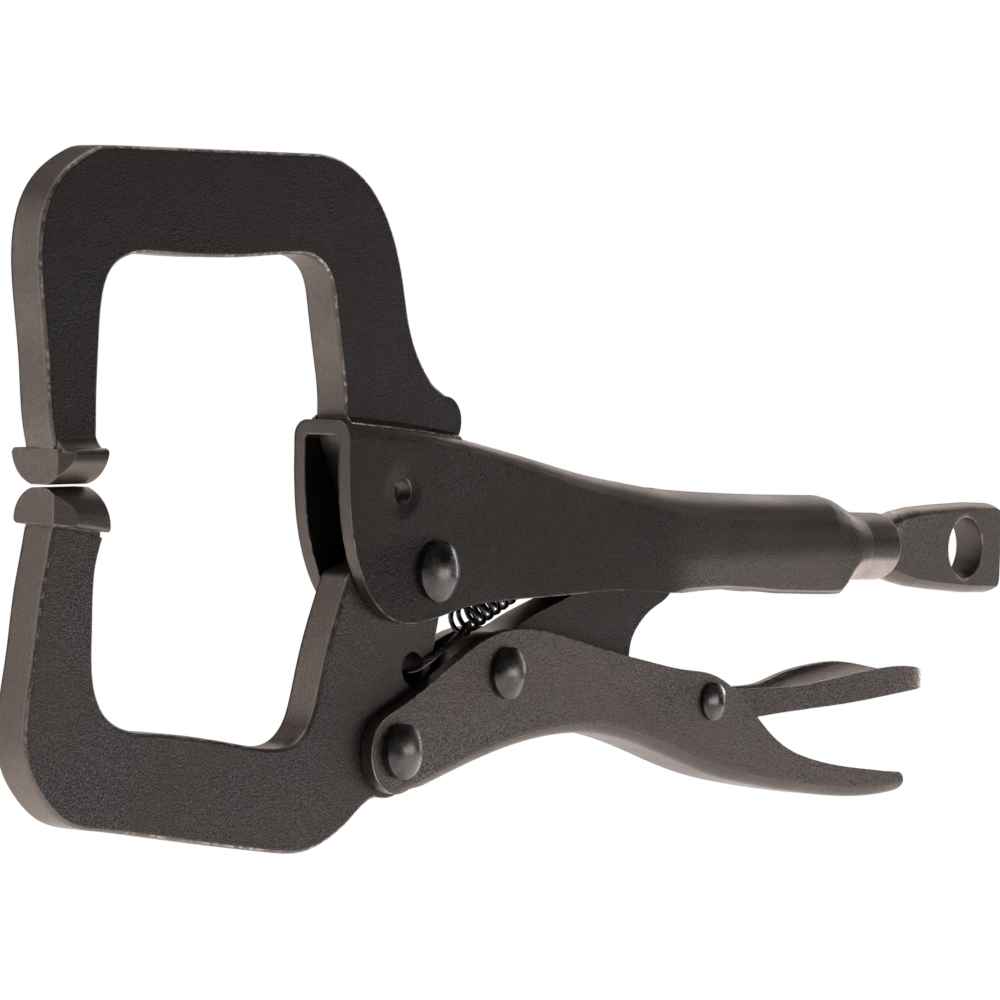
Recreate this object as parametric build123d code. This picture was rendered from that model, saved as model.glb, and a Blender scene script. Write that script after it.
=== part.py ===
from build123d import *
import os
from math import cos, sin, tan, radians

os.makedirs("parts", exist_ok=True)

# Locking C-clamp, about 11 in long, shown shut.  Millimetres.
# X runs from the jaws to the screw, Y across the sheet metal, Z up.
# The origin is the middle of the fixed jaw's pad face.

# ---- sizes -------------------------------------------------------------
SHEET = 2.5            # handle sheet
HALF = 6.35            # half width of both handle channels
GAP = HALF - SHEET     # half width inside them
JAW = 3.5              # half thickness of jaws and toggle link
EDGE = 0.8             # rounded edge of the jaw plates

A = (90.8, -17.0)      # moving jaw on the upper handle
B = (81.2, -48.5)      # lower handle on the moving jaw
C = (111.2, -36.0)     # toggle link on the lower handle
L = (173.7, -44.3)     # release lever on the lower handle
SPRING_HOLE = (87.9, -34.3)
TAB_HOLE = (263.7, -17.9)

SCREW_TILT = 2.0       # the screw dips this many degrees towards its tab
SCREW_R = 4.95
BORE_R = 5.0
TIP_X = 171.4          # inner end of the screw
NECK_END = 236.6       # outer end of the handle's neck

PAD_R = 6.2            # half-round pads of both jaws
PAD_DEPTH = 6.0
LOW_PAD_R = 5.6        # the moving jaw's pad is a little smaller
PAD_GAP = 0.5          # space between the shut pads

TUBE_HALF = 7.75       # half width of the rear of the upper handle
SLOT = 3.95            # half width of the slot under it


def on_axis(x):
    """Height of the screw's axis at x."""
    return TAB_HOLE[1] + (TAB_HOLE[0] - x) * tan(radians(SCREW_TILT))


# ---- small helpers -----------------------------------------------------
def v(p):
    return (p[0], 0, p[1])


def curve(*pts, start=None, end=None):
    if start and end:
        return Spline(*[v(p) for p in pts], tangents=[v(start), v(end)])
    return Spline(*[v(p) for p in pts])


def lines(*pts):
    return [Line(v(p), v(q)) for p, q in zip(pts, pts[1:])]


def arc(p, m, q):
    return ThreePointArc(v(p), v(m), v(q))


def side(edges, half, mid=0.0):
    """Plate whose side view is the closed outline, 2 x half thick."""
    face = Face(Wire(edges))
    return extrude(face, half, dir=(0, 1, 0), both=True).moved(Location((0, mid, 0)))


def plan(edges_or_face, low, high):
    """Column whose top view is the outline, from low to high."""
    return extrude(edges_or_face, high - low, dir=(0, 0, 1)).moved(Location((0, 0, low)))


def rod(centre, r, half, mid=0.0):
    """Round bar along Y."""
    bar = Cylinder(r, 2 * half)
    return Location((centre[0], mid, centre[1]), (90, 0, 0)) * bar


def block(x0, x1, y0, y1, z0, z1):
    return Pos((x0 + x1) / 2, (y0 + y1) / 2, (z0 + z1) / 2) * Box(x1 - x0, y1 - y0, z1 - z0)


def around(centre, r, deg):
    return (centre[0] + r * cos(radians(deg)), centre[1] + r * sin(radians(deg)))


def long_edges(body, at_y, tol=0.05):
    """Edges that lie on the flat side faces of a plate."""
    found = []
    for e in body.edges():
        ys = [e.position_at(t).Y for t in (0, 0.5, 1)]
        if all(abs(abs(y) - at_y) < tol for y in ys):
            found.append(e)
    return found


def save(name, body):
    body.label = name
    export_step(body, "parts/" + name + ".step")


# ---- fixed jaw ---------------------------------------------------------
PAD_TIP_R = 0.9        # rounded tips of the pads
PAD_FRONT = -5.3
PAD_BACK = 5.2


def pad(z_face, up, outline, worn, r=PAD_R, depth=PAD_DEPTH):
    """Half-round pad: a bar along X, flat on top of its round, one front corner forged off.

    worn is (x, y): the forged-off corner runs from (PAD_FRONT, y) to (x, -r).
    """
    centre = z_face + up * depth
    reach = r + 2
    bar = Location((0, 0, centre), (0, 90, 0)) * Cylinder(r, 40)
    slab = side(lines(*outline, outline[0]), reach)
    top = Polyline((PAD_FRONT, reach), (reach, reach), (reach, -reach), (worn[0], -reach),
                   (worn[0], -r), (PAD_FRONT, worn[1]), close=True)
    body = bar & slab & plan(make_face(top), -2 * reach, 2 * reach)
    tips = [e for e in body.edges() if abs(e.center().Y) > r - 0.6 and e.bounding_box().size.X > 3]
    return fillet(tips, PAD_TIP_R)


def pad_blend(x0, x1):
    """Hollow blend from the leg's side down to the upper pad's tip."""
    leg_y = -JAW + 0.2
    tip_y = -PAD_R + 0.5
    corner = (x0, leg_y, PAD_DEPTH - 0.5)
    tip = (x0, tip_y, PAD_DEPTH - 0.5)
    top = (x0, leg_y, PAD_DEPTH + 2.6)
    hollow = ThreePointArc(tip, (x0, tip_y + 1.6, PAD_DEPTH + 0.8), top)
    return extrude(Face(Wire([Line(top, corner), Line(corner, tip), hollow])), x1 - x0, dir=(1, 0, 0))


jaw_outer = curve((-4.9, 5.0), (-5.9, 9), (-7.2, 20), (-8.6, 30), (-9.3, 38.5), (-7.8, 46),
                  (-3, 52), (3.5, 55.4), (10, 56.1), start=(-0.2, 1), end=(1, 0))
jaw_top = Line(v((10, 56.1)), v((60, 56.1)))
jaw_shoulder = curve((60, 56.1), (68, 54.7), (75, 50.6), (80, 44.5), (84, 34.5), (88, 22),
                     (92, 16.8), (97, 13.8), start=(1, 0), end=(1, -0.5))
jaw_heel = arc((97, 13.8), (100.4, 10.6), (99.7, 6.6))
jaw_tang = lines((99.7, 6.6), (99.7, 0), (96, -7.5), (76.4, -7.5), (70.0, 6.0), (68.5, 12))
jaw_inner = curve((68.5, 12), (67.4, 20), (65.4, 30), (63.5, 35.5), (60, 38), (54, 38.6),
                  start=(0, 1), end=(-1, 0))
jaw_inner_top = curve((54, 38.6), (46, 38.2), (20, 38.2), (12, 37.7), (8, 35.2), (6.2, 31),
                      (5.5, 24), (5.1, 15), (5.1, 9), (4.7, 5.0), start=(-1, 0), end=(-0.3, -1))
fixed_jaw = side([jaw_outer, jaw_top, jaw_shoulder, jaw_heel, *jaw_tang, jaw_inner, jaw_inner_top,
                  Line(v((4.7, 5.0)), v((-4.9, 5.0)))], JAW)
rounded = [e for e in long_edges(fixed_jaw, JAW) if e.center().Z > 14]
fixed_jaw = fillet(rounded, EDGE)
up_pad = [(PAD_FRONT, 0), (4.8, 0), (PAD_BACK, PAD_DEPTH), (PAD_FRONT, PAD_DEPTH)]
fixed_jaw = fixed_jaw + pad(0, 1, up_pad, (-2.6, -4.2)) + pad_blend(-4.6, 4.6)
fixed_jaw = fixed_jaw - block(-9, 9, -9, 9, -1, 0)
STAKE = (80.9, -2.6)
STAKE_R = 2.2
DENT_R = 2.5           # the dent over the stake
DENT_OUT = 0.6
fixed_jaw = fixed_jaw - rod(STAKE, STAKE_R + 0.05, 1.25, -JAW) - rod(STAKE, STAKE_R + 0.05, 1.25, JAW)
save("fixed_jaw", fixed_jaw)

# ---- moving jaw --------------------------------------------------------
BOSS_A = 8.9
BOSS_B = 8.3
low_outer = curve((-5.2, -7.0), (-5.9, -10), (-7.6, -17), (-9.4, -28), (-11.3, -39), (-10.6, -46),
                  (-7, -51.5), (-1, -56), (8, -58), (30, -61.4), (50, -64.4), (59, -65.0),
                  (66, -63.2), (72, -60), (79, -56.7), start=(-0.25, -1), end=(1, 0.1))
boss_b = arc((79, -56.7), around(B, BOSS_B, -45), around(B, BOSS_B, 10))
rear = Line(v(around(B, BOSS_B, 10)), v(around(A, BOSS_A, -60)))
boss_a = arc(around(A, BOSS_A, -60), around(A, BOSS_A, 45), around(A, BOSS_A, 150))
neck_top = Line(v(around(A, BOSS_A, 150)), v((71.19, -16.70)))
neck_corner = arc((71.19, -16.70), (70.55, -17.11), (70.12, -17.73))
low_inner = curve((70.12, -17.73), (69.3, -19.5), (66.8, -25), (64, -32.5), (62.2, -38.5), (60, -43.2),
                  (56, -46.0), (50, -46.4),
                  (40, -44.9), (20, -42.1), (12, -40.8), (7.4, -37.8), (5.2, -33), (4.8, -25),
                  (4.9, -18), (5.6, -12.8), (7.0, -9.0), start=(-0.418, -0.908), end=(0.4, 1))
moving_jaw = side([low_outer, boss_b, rear, boss_a, neck_top, neck_corner, low_inner,
                   Line(v((7.0, -9.0)), v((-5.2, -7.0)))], JAW)
rounded = [e for e in long_edges(moving_jaw, JAW) if e.length > 60]
moving_jaw = fillet(rounded, EDGE)
moving_jaw = moving_jaw + block(-4.8, 6.2, -3.3, 3.3, -9.5, -5)
low_pad = [(PAD_FRONT, -PAD_GAP), (4.9, -PAD_GAP), (6.6, -8.0), (PAD_FRONT, -6.5)]
moving_jaw = moving_jaw + pad(-PAD_GAP, -1, low_pad, (-1.4, -3.4), LOW_PAD_R,
                              LOW_PAD_R - PAD_R + PAD_DEPTH)
moving_jaw = moving_jaw - block(-9, 9, -9, 9, -PAD_GAP, 1)
RIVET_R = 4.0
RUN = 0.05             # running clearance on a radius
moving_jaw = moving_jaw - rod(A, RIVET_R + RUN, 9) - rod(B, RIVET_R + RUN, 9)
moving_jaw = moving_jaw - rod(SPRING_HOLE, 2.9, 9)
save("moving_jaw", moving_jaw)


# ---- upper handle ------------------------------------------------------
def section(x, top, low, half, r_top, r_low, taper=0.0):
    """Upright rounded box across the handle at x, each side taper narrower at the bottom."""
    foot = half - taper
    corners = Polyline((-half, top), (half, top), (foot, low), (-foot, low), close=True)
    sk = Plane.YZ.offset(x) * make_face(corners)
    sk = fillet(sk.vertices().group_by(Axis.Z)[-1], r_top)
    low_two = [p for p in sk.vertices() if abs(p.Z - low) < 1e-6]
    return fillet(low_two, r_low)


#             x      top    low   half  r_top r_low taper
STATIONS = [(66.3, 9.95, -30.0, HALF, 3.0, 2.0, 0.0),
            (90.0, 7.8, -30.0, HALF, 3.0, 2.0, 0.0),
            (115.0, 3.5, -30.0, HALF, 3.4, 2.0, 0.0),
            (138.0, -0.9, -29.5, HALF, 4.4, 2.0, 0.0),
            (152.0, -2.8, -27.5, 6.7, 5.4, 1.8, 0.3),
            (165.0, -4.2, -23.6, 7.4, 6.4, 1.5, 1.1),
            (178.0, -5.0, -23.3, TUBE_HALF, 6.8, 1.2, 1.9),
            (196.0, -5.8, -24.7, TUBE_HALF, 6.8, 1.2, 2.1),
            (214.0, -6.3, -25.5, TUBE_HALF, 6.8, 1.2, 2.1)]
SHOULDER = [(214.0, -6.3, -25.5, TUBE_HALF, 6.8, 1.2, 2.1),
            (217.0, -6.9, -25.5, 7.6, 6.6, 1.3, 2.0),
            (220.0, -8.2, -24.3, 7.25, 6.4, 4.6, 0.9),
            (223.0, -9.3, -23.4, 6.9, 6.5, 6.3, 0.1),
            (226.0, on_axis(226) + 6.7, on_axis(226) - 6.7, 6.7, 6.6, 6.6, 0.0)]


def smooth(rows, x):
    """Row at x, on smooth curves through the rows."""
    i = max(k for k in range(len(rows) - 1) if rows[k][0] <= x or k == 0)
    p, q = rows[i], rows[i + 1]
    width = q[0] - p[0]
    t = (x - p[0]) / width
    out = [x]
    for c in range(1, len(p)):
        rise = (q[c] - p[c]) / width
        before = rise if i == 0 else (p[c] - rows[i - 1][c]) / (p[0] - rows[i - 1][0])
        after = rise if i == len(rows) - 2 else (rows[i + 2][c] - q[c]) / (rows[i + 2][0] - q[0])
        m0 = 0 if before * rise <= 0 else 2 * before * rise / (before + rise)
        m1 = 0 if after * rise <= 0 else 2 * after * rise / (after + rise)
        out.append((2 * t ** 3 - 3 * t ** 2 + 1) * p[c] + (t ** 3 - 2 * t ** 2 + t) * width * m0
                   + (3 * t ** 2 - 2 * t ** 3) * q[c] + (t ** 3 - t ** 2) * width * m1)
    return out


def steps(rows, places):
    return [smooth(rows, x) for x in places]


along_handle = steps(STATIONS, [66.3, 80, 90, 100, 108, 115, 121, 126, 131, 135, 138, 141, 144, 147,
                                150, 153, 156, 159, 162, 165, 168, 171, 174.5, 178, 187, 196, 205, 214])
outer = loft([section(*s) for s in along_handle], ruled=True)
cores = [section(x - 0.01 if i else x - 1, top - SHEET, low - 6 if x < 150 else low + SHEET,
                 half - SHEET, max(r_top - SHEET, 0.8), max(r_low - SHEET, 0.6), taper)
         for i, (x, top, low, half, r_top, r_low, taper) in enumerate(along_handle)]
inner = loft(cores, ruled=True)
along_shoulder = steps(SHOULDER, [214, 215.5, 217, 218.5, 220, 221.5, 223, 224.5, 226])
shoulder = loft([section(*s) for s in along_shoulder], ruled=True)


def along_screw(x0, x1, r):
    """Round bar on the screw's axis from x0 to x1."""
    mid = (x0 + x1) / 2
    bar = Cylinder(r, (x1 - x0) / cos(radians(SCREW_TILT)))
    return Location((mid, 0, on_axis(mid)), (0, 90 + SCREW_TILT, 0)) * bar


neck_bar = along_screw(223, NECK_END, 6.65)
neck_bar = fillet(neck_bar.edges().sort_by(Axis.X)[-1], 1.4)
upper = outer + shoulder + neck_bar
upper = upper - inner - along_screw(TIP_X - 4, NECK_END + 2, BORE_R)

below = [curve((66.25, 4.0), (66.5, -2.5), (67.5, -9.4), (69.6, -15.5), (73.2, -21.2), (78, -24.8),
               (84.5, -26.1), (92, -25.1), (102, -23.4), (116, -22.8), (134, -22.4), (146, -22.3),
               (156, -23.0), (165.5, -23.4)),
         *lines((165.5, -23.4), (165.5, -45), (60, -45), (60, 4.0), (66.25, 4.0))]
upper = upper - side(below, 9)
upper = upper - block(148, 202, -SLOT, SLOT, -30, -18)            # slot under the tube
upper = upper - block(68.4, 99.8, -JAW - RUN, JAW + RUN, 0, 12)   # the jaw passes through the top
LANCE = (150.4, 160.0)
upper = upper - block(LANCE[0], LANCE[1], -2.5, 2.5, -8, 2)
TONGUE_LEN = 8.6
tongue = Location((150.9, 0, -3.9), (0, 58, 0)) * Pos(TONGUE_LEN / 2, 0, 0) * Box(TONGUE_LEN, 3.0, 2.2)
upper = upper + tongue
for y in (-1, 1):
    upper = upper + rod(STAKE, STAKE_R, 0.6, y * GAP)
    upper = upper - Pos(STAKE[0], y * (HALF + DENT_OUT), STAKE[1]) * Sphere(DENT_R)
upper = upper - rod(A, RIVET_R, 9)
save("upper_handle", upper)

# ---- weld beads between the fixed jaw and the upper handle ----------------
FOOT = [(68.6, 9.8), (84, 8.4), (99.6, 6.3)]


def bead(y):
    """Fillet weld along one side of the jaw's foot."""
    foot = Spline(*[(x, y, z) for x, z in FOOT])
    leg = [(0, -0.5), (0, 0.9), (0.35, 0.55), (0.8, 0.25), (1.4, -0.6)]
    s = 1 if y > 0 else -1
    face = Plane(foot @ 0, x_dir=(0, s, 0), z_dir=foot % 0)
    shape = face * make_face(Polyline(*[(a, s * b) for a, b in leg], close=True))
    return sweep(shape, foot) - upper - fixed_jaw


weld = Compound(children=[bead(-JAW), bead(JAW)])
save("weld_bead", weld)


# ---- lower handle ------------------------------------------------------
EAR_R = 7.6
FLOOR_START = 91.0
low_top = curve(around(B, EAR_R, 150), (75.9, -43.4), (80, -41.3), (87.5, -38.1), (95, -34.4),
                (103.8, -30.3), (110, -28.6), (116, -28.3), (125, -29.5), (140, -33), (155, -36.1),
                (165, -37.9), (172.5, -38.9), (178.5, -41.0), (185, -45.1), (191, -50.0),
                (197.5, -54.1), (206, -57.0), (218, -59.3), (230.8, -60.9), (235.6, -61.6))
low_tip = arc((235.6, -61.6), (238.4, -63.3), (236.8, -65.5))
under = [(236.8, -65.5), (230, -65.8), (218.6, -65.3), (203.7, -63.5), (188.8, -61.2), (175, -58.2),
         (162.5, -54.3), (152.4, -51.2), (142.4, -49.0), (130, -48.2), (117.3, -49.2),
         (104.5, -51.6), (96, -53.7), (FLOOR_START, -55.0)]
low_under = curve(*under)
low_ear = arc((84.5, -55.4), around(B, EAR_R, 210), around(B, EAR_R, 150))
lower = side([low_top, low_tip, low_under, Line(v((FLOOR_START, -55.0)), v((84.5, -55.4))), low_ear],
             HALF)
folds = [e for e in long_edges(lower, HALF) if e.length > 100 and e.center().Z < -50]
lower = fillet(folds, 2.5)
floor_line = [(x, z + 2.6) for x, z in under]
room = [curve(*floor_line),
        *lines(floor_line[-1], (60, -52), (60, -20), (240, -20), (240, -62.9), floor_line[0])]
lower = lower - side(room, GAP)
lower = lower - block(70, FLOOR_START, -GAP, GAP, -60, -40)
lower = lower - rod(B, RIVET_R, 9) - rod(C, RIVET_R, 9)
LEVER_PIN_R = 2.5
lower = lower - rod(L, LEVER_PIN_R, 9)
save("lower_handle", lower)

# ---- toggle link -------------------------------------------------------
HEEL_R = 7.4
NOSE = (162.3, -14.4)
NOSE_R = 4.4
link_top = curve(around(C, HEEL_R, 100), (114, -28.9), (121, -26.7), (131, -23.7), (141, -20.4),
                 (150, -16.6), (155.5, -12.9), around(NOSE, NOSE_R, 125))
link_nose = arc(around(NOSE, NOSE_R, 125), around(NOSE, NOSE_R, 45), around(NOSE, NOSE_R, -25))
link_low = curve(around(NOSE, NOSE_R, -25), (165.6, -21.0), (163.3, -24.0), (158.8, -26.1),
                 (154.3, -29.0), (151.9, -32.2), (151.2, -35.5), (149.9, -38.8), (146, -40.4),
                 (138, -40.9), (126, -41.8), (118, -43.0), around(C, HEEL_R, -80))
link_heel = arc(around(C, HEEL_R, -80), around(C, HEEL_R, 190), around(C, HEEL_R, 100))
link = side([link_top, link_nose, link_low, link_heel], JAW)
link = link - rod(C, RIVET_R + RUN, 9)
save("toggle_link", link)

# ---- release lever -----------------------------------------------------
LEVER_WALL = 1.8
LEVER_RIM = 1.2
TROUGH_R = 11.0        # rounded trough along the paddle
TROUGH = ((196.0, -46.5), (242.0, -43.0))
lever_top = [(152.6, -41.5), (158, -40.6), (168, -40.0), (178, -41.2), (186, -42.6), (195, -43.0),
             (203.7, -42.9), (211, -42.0), (219, -41.0), (229, -40.3), (237, -40.4), (242, -41.3),
             (247, -42.6)]
lever_low = [(247, -44.6), (239.2, -45.0), (229.2, -45.7), (219.3, -46.5), (209.3, -47.2),
             (199.4, -47.9), (190, -48.6), (180, -49.2), (170, -49.0), (160, -46.6), (152.6, -43.9)]
lever_side = [curve(*lever_top), Line(v(lever_top[-1]), v(lever_low[0])), curve(*lever_low),
              Line(v(lever_low[-1]), v(lever_top[0]))]
lever_half = [(191.5, 3.6), (201.5, 4.9), (212, 7.2), (224, 8.6), (234, 8.9), (241, 8.0), (245.2, 5.0),
              (246.4, 0)]


def top_view(start, points):
    """Straight shank from start, then the two mirrored edges of the paddle."""
    edges = [Line((start, -points[0][1], 0), (start, points[0][1], 0))]
    for sign in (-1, 1):
        edge = [(x, sign * y, 0) for x, y in points]
        edges.append(Line((start, edge[0][1], 0), edge[0]))
        edges.append(Spline(*edge, tangents=[(1, 0, 0), (0, -sign, 0)]))
    return Face(Wire(edges))


lever = side(lever_side, 12) & plan(top_view(150, lever_half), -60, -30)
hollow_low = [(x, z + LEVER_WALL) for x, z in lever_low]
hollow_half = [(x - LEVER_RIM if y < 1 else x, max(y - LEVER_RIM, 0)) for x, y in lever_half]
hollow_side = [curve(*hollow_low), Line(v(hollow_low[-1]), v((152.6, -30))),
               Line(v((152.6, -30)), v((248, -30))), Line(v((248, -30)), v(hollow_low[0]))]
trough_dir = Vector(TROUGH[1][0] - TROUGH[0][0], 0, TROUGH[1][1] - TROUGH[0][1])
trough_plane = Plane((TROUGH[0][0], 0, TROUGH[0][1]), x_dir=(0, 1, 0), z_dir=trough_dir)
trough = extrude(trough_plane.offset(-60) * (Pos(0, TROUGH_R) * Circle(TROUGH_R)), 130)
lever = lever - (side(hollow_side, 12) & plan(top_view(154.5, hollow_half), -60, -30) & trough)
lever = lever - rod(L, LEVER_PIN_R + RUN, 9)
save("release_lever", lever)

# ---- adjusting screw -----------------------------------------------------
shank = along_screw(TIP_X, NECK_END + 0.15, SCREW_R)
shank = chamfer(shank.edges().sort_by(Axis.X)[0], 1.5)
save("screw_shank", shank)

#        distance from the root, half height, half width
TAB = [(0.0, 6.0, 3.6), (5.0, 7.1, 3.7), (10.0, 7.9, 3.9), (18.0, 8.5, 4.0), (30.0, 9.15, 4.0),
       (39.5, 9.1, 4.0)]
TAB_HALF = 3.2
TAB_HOLE_R = 6.2
root_x = NECK_END + 0.4
tab = loft([section(s, hz, -hz, hy, hy - 0.2, hy - 0.2) for s, hz, hy in TAB], ruled=True)
mould = block(-5, TAB[-1][0], -TAB_HALF, TAB_HALF, -9.3, 9.3)
mould = fillet(mould.edges().filter_by(Axis.Y).group_by(Axis.X)[-1], 3.6)
tab = tab & mould
tab = Location((root_x, 0, on_axis(root_x)), (0, SCREW_TILT, 0)) * tab
tab = tab - rod(TAB_HOLE, TAB_HOLE_R, 9)
save("screw_tab", tab)


# ---- rivets ------------------------------------------------------------
def rivet(centre, shank_r, head_r, wall, crown, face_y):
    """Round shank along Y with a domed head on each outer face."""
    body = Cylinder(shank_r, 2 * face_y)
    ball_r = (head_r ** 2 + crown ** 2) / (2 * crown)
    brim = face_y + wall
    head = Pos(0, 0, face_y + wall / 2) * Cylinder(head_r, wall)
    dome = Pos(0, 0, brim + crown - ball_r) * Rotation(0, 60, 0) * Sphere(ball_r)
    head = head + (dome & (Pos(0, 0, brim + crown / 2) * Cylinder(head_r, crown)))
    body = body + head + Rotation(180, 0, 0) * head
    return Location((centre[0], 0, centre[1]), (90, 0, 0)) * body


save("jaw_pivot_rivet", rivet(A, RIVET_R, 5.4, 1.0, 1.6, HALF))
save("handle_pivot_rivet", rivet(B, RIVET_R, 4.9, 1.5, 1.4, HALF))
save("link_rivet", rivet(C, RIVET_R, 4.7, 1.0, 1.4, HALF))
save("lever_rivet", rivet(L, LEVER_PIN_R, 3.6, 0.8, 0.9, HALF))

# ---- return spring -------------------------------------------------------
WIRE_R = 0.475
COIL_R = 2.5
COIL_START = (104.8, -27.0)
COIL_END = (143.6, -11.3)
TURNS = 18
run = Vector(COIL_END[0] - COIL_START[0], 0, COIL_END[1] - COIL_START[1])
along = run.normalized()
coil_place = Plane((COIL_START[0], 0, COIL_START[1]), x_dir=(0, -1, 0), z_dir=along)
coil_path = coil_place * Helix(run.length / TURNS, run.length, COIL_R)


def wire(path):
    """Round wire along a path."""
    return sweep(Plane(path @ 0, z_dir=path % 0) * Circle(WIRE_R), path)


def beside(s, y):
    """Point at distance s along the coil's axis, y to the side."""
    p = Vector(COIL_START[0], 0, COIL_START[1]) + along * s
    return (p.X, y, p.Z)


coil = sweep(Plane(coil_path @ 0, z_dir=coil_path % 0) * Circle(WIRE_R), coil_path, is_frenet=True)
leg = Spline(coil_path @ 0, (101.2, -3.2, -29.2), (95.2, -4.2, -31.4), (89.6, -4.4, -34.0),
             tangents=[(coil_path % 0) * -1, (-1, 0, -0.5)])
hook = Spline(leg @ 1, (87.6, -3.4, -34.9), (87.0, -0.5, -35.0), (87.0, 4.6, -35.0),
              tangents=[leg % 1, (0, 1, 0)])
at_tongue = 52.2
eye = Spline(coil_path @ 1, beside(at_tongue - 5, -2.5), beside(at_tongue - 0.5, -2.3),
             beside(at_tongue + 1.2, -1.9), beside(at_tongue + 1.9, -0.4),
             beside(at_tongue + 1.7, 1.4), beside(at_tongue + 0.3, 2.3),
             tangents=[coil_path % 1, (-1, 0.3, -0.4)])
spring = coil + wire(leg) + wire(hook) + wire(eye)
save("return_spring", spring)
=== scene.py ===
import math
import bpy
from mathutils import Matrix, Vector


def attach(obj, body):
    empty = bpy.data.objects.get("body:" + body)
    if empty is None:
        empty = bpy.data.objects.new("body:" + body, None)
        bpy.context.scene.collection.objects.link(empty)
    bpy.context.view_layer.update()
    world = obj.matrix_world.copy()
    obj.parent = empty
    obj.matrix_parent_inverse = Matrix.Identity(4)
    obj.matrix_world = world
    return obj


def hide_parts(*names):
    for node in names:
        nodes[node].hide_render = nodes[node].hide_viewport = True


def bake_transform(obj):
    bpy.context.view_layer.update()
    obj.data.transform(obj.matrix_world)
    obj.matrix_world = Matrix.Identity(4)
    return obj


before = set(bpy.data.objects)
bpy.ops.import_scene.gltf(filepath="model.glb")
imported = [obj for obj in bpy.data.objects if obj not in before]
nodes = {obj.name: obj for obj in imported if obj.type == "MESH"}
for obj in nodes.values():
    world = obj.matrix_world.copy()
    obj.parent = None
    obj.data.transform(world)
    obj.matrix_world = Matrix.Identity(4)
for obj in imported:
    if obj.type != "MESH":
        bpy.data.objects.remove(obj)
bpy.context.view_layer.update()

scene = bpy.context.scene

MM = 0.001
# Places along X and Z, in millimetres, that the looks and the new pieces share.
SPRING_HOLE = (87.9, -34.3)
STAKE = (80.9, -2.6)
TAB_HOLE = (263.7, -17.9)
TAB_ROOT = (239.5, -11.5)
PAD_MIDDLE = (0.0, 0.0)


# ---- camera and light ----------------------------------------------------
LENS = 198
SENSOR = 36
CAMERA_AT = Vector((-0.66404, -0.62196, 0.03540))
LOOK = Vector((0.78139, 0.62272, -0.04061)).normalized()
RIGHT = Vector((0.62367, -0.78152, 0.01633))
RIGHT = (RIGHT - RIGHT.dot(LOOK) * LOOK).normalized()
UP = RIGHT.cross(LOOK)

camera = bpy.data.objects.new("camera", bpy.data.cameras.new("camera"))
scene.collection.objects.link(camera)
camera.matrix_world = Matrix((
    (RIGHT.x, UP.x, -LOOK.x, CAMERA_AT.x),
    (RIGHT.y, UP.y, -LOOK.y, CAMERA_AT.y),
    (RIGHT.z, UP.z, -LOOK.z, CAMERA_AT.z),
    (0, 0, 0, 1)))
camera.data.lens = LENS
camera.data.sensor_width = SENSOR
camera.data.clip_start = 0.01
camera.data.clip_end = 50
scene.camera = camera
scene.view_settings.view_transform = "Standard"


def area_light(name, place, target, size, power):
    data = bpy.data.lights.new(name, "AREA")
    data.shape = "RECTANGLE"
    data.size = size[0]
    data.size_y = size[1]
    data.energy = power
    lamp = bpy.data.objects.new(name, data)
    scene.collection.objects.link(lamp)
    lamp.location = place
    aim = Vector(target) - Vector(place)
    lamp.rotation_mode = "QUATERNION"
    lamp.rotation_quaternion = aim.to_track_quat("-Z", "Y")


MIDDLE = (0.11, 0, -0.01)
area_light("left_box", (-0.75, 0.30, 0.30), MIDDLE, (0.7, 0.9), 5.0)
area_light("top_box", (0.15, 0.05, 0.85), MIDDLE, (0.9, 0.5), 5.0)
area_light("back_box", (0.95, 0.42, 0.55), MIDDLE, (0.7, 0.5), 3.5)
area_light("right_box", (1.0, 0.10, 0.05), MIDDLE, (0.35, 0.35), 2.6)
area_light("low_box", (0.42, -0.40, -0.06), (0.10, 0, -0.05), (0.3, 0.1), 0.6)

# The backdrop is white to the camera, and gives the object almost no light.
GLOW_IN_VIEW = 1.0
GLOW_ON_OBJECT = 0.05
world = bpy.data.worlds.new("studio")
world.use_nodes = True
wt = world.node_tree
glow = wt.nodes["Background"]
seen = wt.nodes.new("ShaderNodeLightPath")
level = wt.nodes.new("ShaderNodeMapRange")
level.inputs["To Min"].default_value = GLOW_ON_OBJECT
level.inputs["To Max"].default_value = GLOW_IN_VIEW
wt.links.new(seen.outputs["Is Camera Ray"], level.inputs["Value"])
wt.links.new(level.outputs[0], glow.inputs["Strength"])
glow.inputs["Color"].default_value = (1, 1, 1, 1)
scene.world = world


# ---- node helpers --------------------------------------------------------
BEVEL_SAMPLES = 6


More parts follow.
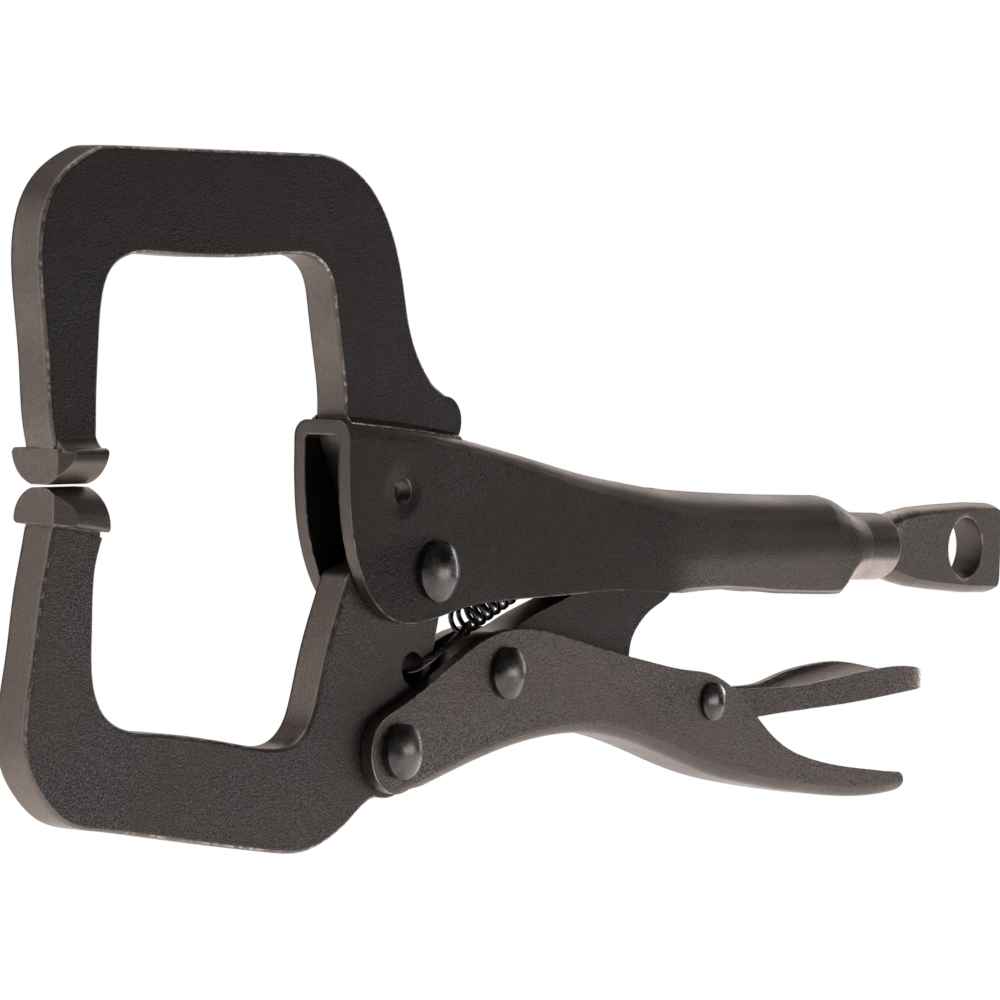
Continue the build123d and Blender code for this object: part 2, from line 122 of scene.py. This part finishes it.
class Shader:
    """A material's node tree with short calls for the nodes used here."""

    def __init__(self, name):
        self.material = bpy.data.materials.new(name)
        self.material.use_nodes = True
        self.tree = self.material.node_tree
        self.tree.nodes.clear()
        self.out = self.tree.nodes.new("ShaderNodeOutputMaterial")
        self.bsdf = self.tree.nodes.new("ShaderNodeBsdfPrincipled")
        self.link(self.bsdf.outputs[0], self.out.inputs["Surface"])
        self.coord = self.tree.nodes.new("ShaderNodeTexCoord")
        self.place = self.coord.outputs["Object"]

    def link(self, a, b):
        self.tree.links.new(a, b)

    def put(self, socket, value):
        if hasattr(value, "is_linked"):
            self.link(value, socket)
        else:
            socket.default_value = value

    def math(self, kind, a, b=0.0, clamp=False):
        n = self.tree.nodes.new("ShaderNodeMath")
        n.operation = kind
        n.use_clamp = clamp
        self.put(n.inputs[0], a)
        self.put(n.inputs[1], b)
        return n.outputs[0]

    def ramp(self, value, low, high, to_low=0.0, to_high=1.0):
        n = self.tree.nodes.new("ShaderNodeMapRange")
        n.interpolation_type = "SMOOTHSTEP"
        self.put(n.inputs["Value"], value)
        n.inputs["From Min"].default_value = low
        n.inputs["From Max"].default_value = high
        n.inputs["To Min"].default_value = to_low
        n.inputs["To Max"].default_value = to_high
        return n.outputs[0]

    def noise(self, scale, detail=2.0, rough=0.5):
        n = self.tree.nodes.new("ShaderNodeTexNoise")
        n.inputs["Scale"].default_value = scale
        n.inputs["Detail"].default_value = detail
        n.inputs["Roughness"].default_value = rough
        self.link(self.place, n.inputs["Vector"])
        return n.outputs["Fac"]

    def mix(self, share, a, b):
        n = self.tree.nodes.new("ShaderNodeMix")
        n.data_type = "RGBA"
        self.put(n.inputs["Factor"], share)
        self.put(n.inputs["A"], a if hasattr(a, "is_linked") else (*a, 1))
        self.put(n.inputs["B"], b if hasattr(b, "is_linked") else (*b, 1))
        return n.outputs["Result"]

    def mix_value(self, share, a, b):
        n = self.tree.nodes.new("ShaderNodeMix")
        n.data_type = "FLOAT"
        self.put(n.inputs["Factor"], share)
        self.put(n.inputs["A"], a)
        self.put(n.inputs["B"], b)
        return n.outputs["Result"]

    def times(self, color, factor):
        n = self.tree.nodes.new("ShaderNodeVectorMath")
        n.operation = "SCALE"
        self.link(color, n.inputs[0])
        n.inputs["Scale"].default_value = factor
        return n.outputs[0]

    def flat_side(self, low=0.90, high=0.98, to_low=0.0, to_high=1.0):
        """to_high on faces that look along Y, to_low on the cut edges."""
        parts = self.tree.nodes.new("ShaderNodeSeparateXYZ")
        self.link(self.coord.outputs["Normal"], parts.inputs[0])
        return self.ramp(self.math("ABSOLUTE", parts.outputs["Y"]), low, high, to_low, to_high)

    def along(self, axis, low, high):
        """0 below low mm along the axis, 1 above high mm."""
        parts = self.tree.nodes.new("ShaderNodeSeparateXYZ")
        self.link(self.place, parts.inputs[0])
        return self.ramp(parts.outputs[axis], low * MM, high * MM)

    def spot(self, centre, near, far, inside=1.0, outside=0.0):
        """inside within near mm of the line along Y through centre (x, z), outside beyond far mm."""
        parts = self.tree.nodes.new("ShaderNodeSeparateXYZ")
        self.link(self.place, parts.inputs[0])
        dx = self.math("SUBTRACT", parts.outputs["X"], centre[0] * MM)
        dz = self.math("SUBTRACT", parts.outputs["Z"], centre[1] * MM)
        square = self.math("ADD", self.math("MULTIPLY", dx, dx), self.math("MULTIPLY", dz, dz))
        return self.ramp(self.math("SQRT", square), near * MM, far * MM, inside, outside)

    def rounded(self, radius):
        """Normal that turns smoothly round every corner, within radius metres."""
        soft = self.tree.nodes.new("ShaderNodeBevel")
        soft.samples = BEVEL_SAMPLES
        soft.inputs["Radius"].default_value = radius
        return soft.outputs[0]

    def edges(self, radius, low, high):
        """1 near corners, where the rounded normal leaves the real one."""
        soft = self.rounded(radius)
        here = self.tree.nodes.new("ShaderNodeNewGeometry")
        dot = self.tree.nodes.new("ShaderNodeVectorMath")
        dot.operation = "DOT_PRODUCT"
        self.link(soft, dot.inputs[0])
        self.link(here.outputs["Normal"], dot.inputs[1])
        return self.ramp(self.math("SUBTRACT", 1.0, dot.outputs["Value"]), low, high)

    def bump(self, height, strength, distance, under=None):
        n = self.tree.nodes.new("ShaderNodeBump")
        n.inputs["Strength"].default_value = strength
        n.inputs["Distance"].default_value = distance
        self.put(n.inputs["Height"], height)
        if under:
            self.link(under, n.inputs["Normal"])
        return n.outputs[0]


# ---- finishes ------------------------------------------------------------
GRAZE = (0.84, 0.78, 0.75)         # specular tint, which shows most at a low angle
WORN = (0.42, 0.37, 0.33)          # where the black is rubbed through
OXIDE_METAL = 0.88
WEAR_RADIUS = 0.45                 # mm round a corner
WEAR_TURN = (0.03, 0.16)           # how far the normal turns where wear starts and is full
PATCH_SCALE = 420
CLOUD_SCALE = 48
STREAK_SCALE = 700
WAVE_SCALE = 120
PAD_NEAR = 11                      # no ridge within this many mm of the pads
PAD_FAR = 13


def blackened(name, side, edge, grain=4200, speck=0.75, rough=(0.47, 0.40), wear_share=0.8, bump=1.0,
              round_off=0.35, ridge_share=0.0, tints_and_painted_light=(), dents=()):
    """Blackened steel: blasted sides, smoother cut edges, brightened corners. Colour is chosen by facing
    direction:
    the sides' dark colour is painted shade on top of their blasted finish, and the cut edges' lighter
    colour is painted light on top of their smoother finish.

    tints_and_painted_light are (mask, factor) pairs: where the mask is 1 the colour is multiplied by
    factor; some are tints of the finish, some painted shade or painted light.
    dents are (mask, depth in mm) pairs: where the mask is 1 the surface looks pressed in.
    """
    s = Shader(name)
    flat = s.flat_side()
    fine = s.noise(grain, 2, 0.6)
    pits = s.noise(grain * 0.55, 2, 0.5)
    patch = s.noise(PATCH_SCALE, 3, 0.55)
    cloud = s.noise(CLOUD_SCALE, 3, 0.5)
    streak = s.noise(STREAK_SCALE, 3, 0.6)
    dots = s.math("MULTIPLY", s.ramp(fine, 0.50, 0.62), speck)
    holes = s.math("MULTIPLY", s.ramp(pits, 0.36, 0.52, 1.0, 0.0), 0.75)
    side_color = s.mix(dots, side, [c * 3.4 for c in side])
    side_color = s.mix(holes, side_color, [c * 0.35 for c in side])
    side_color = s.mix(s.ramp(cloud, 0.35, 0.70, 0.0, 0.55), side_color,
                       [side[0] * 1.6, side[1] * 1.45, side[2] * 1.35])
    edge_color = s.mix(s.ramp(streak, 0.35, 0.68, 0.0, 0.5), edge, [c * 1.25 for c in edge])
    edge_color = s.mix(s.ramp(cloud, 0.38, 0.66, 0.0, 0.45), edge_color, [c * 0.72 for c in edge])
    edge_color = s.mix(s.math("MULTIPLY", holes, 0.45), edge_color, [c * 0.6 for c in edge])
    # Colour by facing direction: the dark sides are partly painted shade, the lighter cut edges partly
    # painted light.
    color = s.mix(flat, edge_color, side_color)
    corner = s.edges(WEAR_RADIUS * MM, *WEAR_TURN)
    broken = s.ramp(s.math("ADD", s.math("MULTIPLY", patch, 0.6), s.math("MULTIPLY", cloud, 0.5)),
                    0.50, 0.66)
    rubbed = s.math("MULTIPLY", s.math("MULTIPLY", corner, broken), wear_share)
    ridge = s.math("MULTIPLY", s.flat_side(0.45, 0.70), s.flat_side(0.88, 0.97, 1.0, 0.0))
    ridge = s.math("MULTIPLY", ridge, s.spot(PAD_MIDDLE, PAD_NEAR, PAD_FAR, 0.0, 1.0))
    chipped = s.math("MULTIPLY", s.ramp(streak, 0.46, 0.58), s.ramp(cloud, 0.42, 0.58))
    rubbed = s.math("MAXIMUM", rubbed, s.math("MULTIPLY", s.math("MULTIPLY", ridge, chipped), ridge_share))
    color = s.mix(rubbed, color, WORN)
    for mask, factor in tints_and_painted_light:
        color = s.mix(mask(s), color, s.times(color, factor))
    s.link(color, s.bsdf.inputs["Base Color"])
    s.bsdf.inputs["Metallic"].default_value = OXIDE_METAL
    s.bsdf.inputs["Specular Tint"].default_value = (*GRAZE, 1)
    roughness = s.mix_value(flat, rough[1], rough[0])
    roughness = s.math("ADD", roughness, s.ramp(fine, 0.3, 0.7, -0.06, 0.08))
    roughness = s.math("ADD", roughness, s.ramp(cloud, 0.3, 0.7, -0.05, 0.05))
    roughness = s.math("SUBTRACT", roughness, s.math("MULTIPLY", rubbed, 0.10), clamp=True)
    s.link(roughness, s.bsdf.inputs["Roughness"])
    relief = s.math("ADD", s.math("MULTIPLY", fine, s.mix_value(flat, 0.30, 0.8)),
                    s.math("MULTIPLY", pits, s.mix_value(flat, 0.25, 1.0)))
    wavy = s.bump(s.noise(WAVE_SCALE, 2, 0.5), 0.25, 0.12 * MM, s.rounded(round_off * MM))
    for mask, depth in dents:
        wavy = s.bump(s.math("SUBTRACT", 1.0, mask(s)), 1.0, depth * MM, wavy)
    s.link(s.bump(relief, 0.9, 0.20 * bump * MM, wavy), s.bsdf.inputs["Normal"])
    return s.material


def polished(name, base, rough=0.26, bump=0.5):
    """Blackened steel that was rubbed or hammered smooth, for the rivets and the spring."""
    s = Shader(name)
    fine = s.noise(2600, 2, 0.55)
    cloud = s.noise(260, 3, 0.6)
    color = s.mix(s.ramp(cloud, 0.35, 0.65), base, [base[0] * 1.7, base[1] * 1.6, base[2] * 1.55])
    color = s.mix(s.ramp(fine, 0.56, 0.72, 0.0, 0.3), color, [c * 0.55 for c in base])
    s.link(color, s.bsdf.inputs["Base Color"])
    s.bsdf.inputs["Metallic"].default_value = 0.95
    s.link(s.math("ADD", s.ramp(cloud, 0.3, 0.7, rough - 0.05, rough + 0.09),
                  s.ramp(fine, 0.35, 0.7, -0.03, 0.05)), s.bsdf.inputs["Roughness"])
    wavy = s.bump(cloud, 0.30 * bump, 0.05 * MM)
    s.link(s.bump(fine, 0.35 * bump, 0.03 * MM, wavy), s.bsdf.inputs["Normal"])
    return s.material


def jaw_root_painted_shade(s):
    """Painted shade: the fixed jaw's root, hidden inside the handle, darkened as if in the channel's
    shadow.
    """
    return s.math("MULTIPLY", s.along("X", 40, 44), s.math("SUBTRACT", 1.0, s.along("Z", 3.0, 7.5)))


def spring_hole_painted_shade(s):
    """Painted shade: the wall of the hole that the spring hooks into, darkened as if in shadow."""
    return s.spot(SPRING_HOLE, 2.95, 3.15)


def stake_dimple(s):
    """The sheet pressed in round the stake."""
    return s.spot(STAKE, 2.0, 5.5)


def tube_underside_painted_light(s):
    """Painted light: the lower half of the screw's tube, lightened to stand in for the floor's reflection.
    """
    return s.math("MULTIPLY", s.along("X", 158, 172), s.math("SUBTRACT", 1.0, s.along("Z", -19.5, -15.0)))


def tab_root(s):
    """Where the tab was forged flat, with its pitted bronze scale."""
    near = s.spot(TAB_ROOT, 1.5, 4.5)
    return s.math("MULTIPLY", near, s.ramp(s.noise(600, 3, 0.6), 0.42, 0.56))


def hole_rim(s):
    """A worn ring round the tab's hole."""
    ring = s.math("MULTIPLY", s.spot(TAB_HOLE, 6.5, 7.1), s.flat_side())
    return s.math("MULTIPLY", ring, s.ramp(s.noise(300, 3, 0.6), 0.46, 0.60))


# Both jaws have one finish: the fixed jaw's darker side colour is painted shade and the moving jaw's
# lighter side colour is painted light, because the lower parts sit in more light.
FIXED_JAW_SIDE_PAINTED_SHADE = (0.0165, 0.0150, 0.0150)
MOVING_JAW_SIDE_PAINTED_LIGHT = (0.040, 0.0365, 0.0355)
FORGED_EDGE = (0.122, 0.099, 0.087)
LOOKS = {
    "fixed_forging": blackened("fixed_forging", FIXED_JAW_SIDE_PAINTED_SHADE, FORGED_EDGE, ridge_share=0.7,
                               # The jaw's root is darkened to a fifth as painted shade.
                               tints_and_painted_light=[(jaw_root_painted_shade, 0.2)]),
    "moving_forging": blackened("moving_forging", MOVING_JAW_SIDE_PAINTED_LIGHT, FORGED_EDGE, ridge_share=0.7,
                                # The spring hole's wall is darkened as painted shade.
                                tints_and_painted_light=[(spring_hole_painted_shade, 0.15)]),
    "link_forging": blackened("link_forging", (0.024, 0.0210, 0.0205), FORGED_EDGE),
    # The handles have one finish: the upper handle's side colour, a quarter of the lower's, is painted
    # shade.
    "upper_sheet_painted_shade": blackened("upper_sheet_painted_shade", (0.0155, 0.0137, 0.0132), (0.082, 0.069, 0.062),
                             rough=(0.44, 0.38), wear_share=0.6, round_off=0.8,
                             # The tube's lower half is lightened as painted light, standing in for the
                             # floor's reflection.
                             tints_and_painted_light=[(tube_underside_painted_light, 3.6)], dents=[(stake_dimple, 0.9)]),
    "lower_sheet": blackened("lower_sheet", (0.062, 0.0530, 0.0495), (0.084, 0.070, 0.064), speck=0.5,
                             rough=(0.44, 0.38)),
    "screw": blackened("screw", (0.046, 0.039, 0.0355), (0.090, 0.075, 0.067), speck=0.5,
                       rough=(0.38, 0.34), wear_share=0.7, tints_and_painted_light=[(tab_root, 2.4), (hole_rim, 2.4)]),
    "weld": blackened("weld", (0.055, 0.045, 0.040), (0.060, 0.050, 0.044), grain=1800,
                      speck=0.9, rough=(0.34, 0.32), bump=3.0),
    "rivet": polished("rivet", (0.048, 0.045, 0.044)),
    "wire": polished("wire", (0.034, 0.030, 0.028), rough=0.22, bump=0.3),
}
DRESS = {
    "fixed_jaw": "fixed_forging", "moving_jaw": "moving_forging", "toggle_link": "link_forging",
    "upper_handle": "upper_sheet_painted_shade", "lower_handle": "lower_sheet", "release_lever": "lower_sheet",
    "jaw_pivot_rivet": "rivet", "handle_pivot_rivet": "rivet", "link_rivet": "rivet",
    "lever_rivet": "rivet", "screw_shank": "screw", "screw_tab": "screw",
    "weld_bead": "weld", "return_spring": "wire",
}
for node, look in DRESS.items():
    mesh = nodes[node].data
    mesh.materials.clear()
    mesh.materials.append(LOOKS[look])


def new_piece(name, points, faces, look, body, stands_for):
    """A smooth mesh object in place of CAD nodes. Points are in millimetres, in the row frame."""
    mesh = bpy.data.meshes.new(name)
    mesh.from_pydata([[c * MM for c in p] for p in points], [], faces)
    mesh.polygons.foreach_set("use_smooth", [True] * len(mesh.polygons))
    mesh.materials.append(LOOKS[look])
    piece = bpy.data.objects.new(name, mesh)
    scene.collection.objects.link(piece)
    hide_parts(*stands_for)
    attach(piece, body)
    return piece


# ---- adjusting screw with its thread ---------------------------------------
SCREW_TILT = math.radians(2.0)
TIP_X = 171.4
SHANK_END = 236.75
CREST_R = 4.94
TIP_R = 3.4                        # chamfered end of the thread
THREAD_DEPTH = 0.75
FLANK = 1.35                       # steepness of the thread's sides
CREST_FLAT = 0.18
RUN_OUT = (2.0, 1.5)               # plain end of the shank, and the thread's fading length before it
PITCH = 1.5
AROUND = 48
RINGS_PER_PITCH = 10
SCREW_DIR = Vector((math.cos(SCREW_TILT), 0, -math.sin(SCREW_TILT)))
SCREW_SIDE = Vector((0, 1, 0))
SCREW_UP = SCREW_DIR.cross(SCREW_SIDE)


def on_screw(x):
    """Point of the screw's axis at x."""
    return Vector((x, 0, TAB_HOLE[1] + (TAB_HOLE[0] - x) * math.tan(SCREW_TILT)))


def threaded_rod(name, look, body, stands_for):
    start = on_screw(TIP_X)
    length = (SHANK_END - TIP_X) / math.cos(SCREW_TILT)
    rings = int(length / PITCH * RINGS_PER_PITCH)
    plain, fading = RUN_OUT
    points = []
    for i in range(rings + 1):
        far = length * i / rings
        for k in range(AROUND):
            turn = k / AROUND
            saw = (far / PITCH - turn) % 1.0
            cut = min(1.0, max(0.0, abs(2 * saw - 1) * FLANK - CREST_FLAT))
            fade = min(1.0, max(0.0, (length - plain - far) / fading))
            r = CREST_R - THREAD_DEPTH * cut * fade
            r = min(r, TIP_R + far)
            a = turn * math.tau
            p = start + SCREW_DIR * far + (SCREW_SIDE * math.cos(a) + SCREW_UP * math.sin(a)) * r
            points.append(p)
    faces = []
    for i in range(rings):
        low = i * AROUND
        high = low + AROUND
        for k in range(AROUND):
            n = (k + 1) % AROUND
            faces.append((low + k, low + n, high + n, high + k))
    faces.append(tuple(reversed(range(AROUND))))
    faces.append(tuple(rings * AROUND + k for k in range(AROUND)))
    return new_piece(name, points, faces, look, body, stands_for)


threaded_rod("threaded_shank", "screw", "screw", ["screw_shank"])

# ---- return spring -----------------------------------------------------------
WIRE_R = 0.47
COIL_R = 2.5
COIL_START = Vector((104.8, 0, -27.0))
COIL_END = Vector((143.6, 0, -11.3))
TURNS = 18
PER_TURN = 16
COIL_DIR = (COIL_END - COIL_START).normalized()
COIL_DOWN = COIL_DIR.cross(Vector((0, -1, 0)))


def coil_point(share):
    """Point of the wire's middle, share of the way along the coil."""
    a = share * TURNS * math.tau
    middle = COIL_START.lerp(COIL_END, share)
    return middle + (Vector((0, -1, 0)) * math.cos(a) + COIL_DOWN * math.sin(a)) * COIL_R


def beside(s, y):
    """Point at distance s along the coil's axis, y to the side."""
    p = COIL_START + COIL_DIR * s
    return Vector((p.x, y, p.z))


# The wire's bent ends: the hook through the jaw's hole, and the eye round the handle's tongue.
hook = [Vector(p) for p in [(87.0, 4.6, -35.0), (87.0, 2.0, -35.1), (87.0, -0.5, -35.0),
                            (87.6, -3.4, -34.9), (89.6, -4.4, -34.0), (95.2, -4.2, -31.4),
                            (101.2, -3.2, -29.2)]]
eye = [beside(s, y) for s, y in [(47.2, -2.5), (51.7, -2.3), (53.4, -1.9), (54.1, -0.4),
                                 (53.9, 1.4), (52.5, 2.3)]]
route = hook + [coil_point(i / (TURNS * PER_TURN)) for i in range(TURNS * PER_TURN + 1)] + eye
line = bpy.data.curves.new("spring_line", "CURVE")
line.dimensions = "3D"
line.bevel_depth = WIRE_R * MM
line.bevel_resolution = 3
line.use_fill_caps = True
line.resolution_u = 3
spline = line.splines.new("BEZIER")
spline.bezier_points.add(len(route) - 1)
for knot, p in zip(spline.bezier_points, route):
    knot.co = p * MM
    knot.handle_left_type = "AUTO"
    knot.handle_right_type = "AUTO"
holder = bpy.data.objects.new("spring_line", line)
scene.collection.objects.link(holder)
bpy.context.view_layer.update()
wire = bpy.data.meshes.new_from_object(holder.evaluated_get(bpy.context.evaluated_depsgraph_get()))
bpy.data.objects.remove(holder)
bpy.data.curves.remove(line)
wire.materials.clear()
wire.materials.append(LOOKS["wire"])
wire.polygons.foreach_set("use_smooth", [True] * len(wire.polygons))
spring = bpy.data.objects.new("coil_spring", wire)
scene.collection.objects.link(spring)
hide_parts("return_spring")
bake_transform(spring)

# ---- floor and backdrop ----------------------------------------------------
FLOOR_Z = -0.2         # below the lower handle when the jaw is fully open
s = Shader("paper")
s.bsdf.inputs["Base Color"].default_value = (0.9, 0.9, 0.9, 1)
s.bsdf.inputs["Roughness"].default_value = 0.9
s.bsdf.inputs["Emission Color"].default_value = (1, 1, 1, 1)
s.bsdf.inputs["Emission Strength"].default_value = 1.0
paper = bpy.data.meshes.new("floor")
REACH = 1.05
RIM_POINTS = 96
turns = [t * math.tau / RIM_POINTS for t in range(RIM_POINTS)]
rim = [(MIDDLE[0] + REACH * math.cos(t), REACH * math.sin(t), FLOOR_Z) for t in turns]
paper.from_pydata(rim, [], [tuple(range(RIM_POINTS))])
paper.materials.append(s.material)
floor = bpy.data.objects.new("floor", paper)
scene.collection.objects.link(floor)
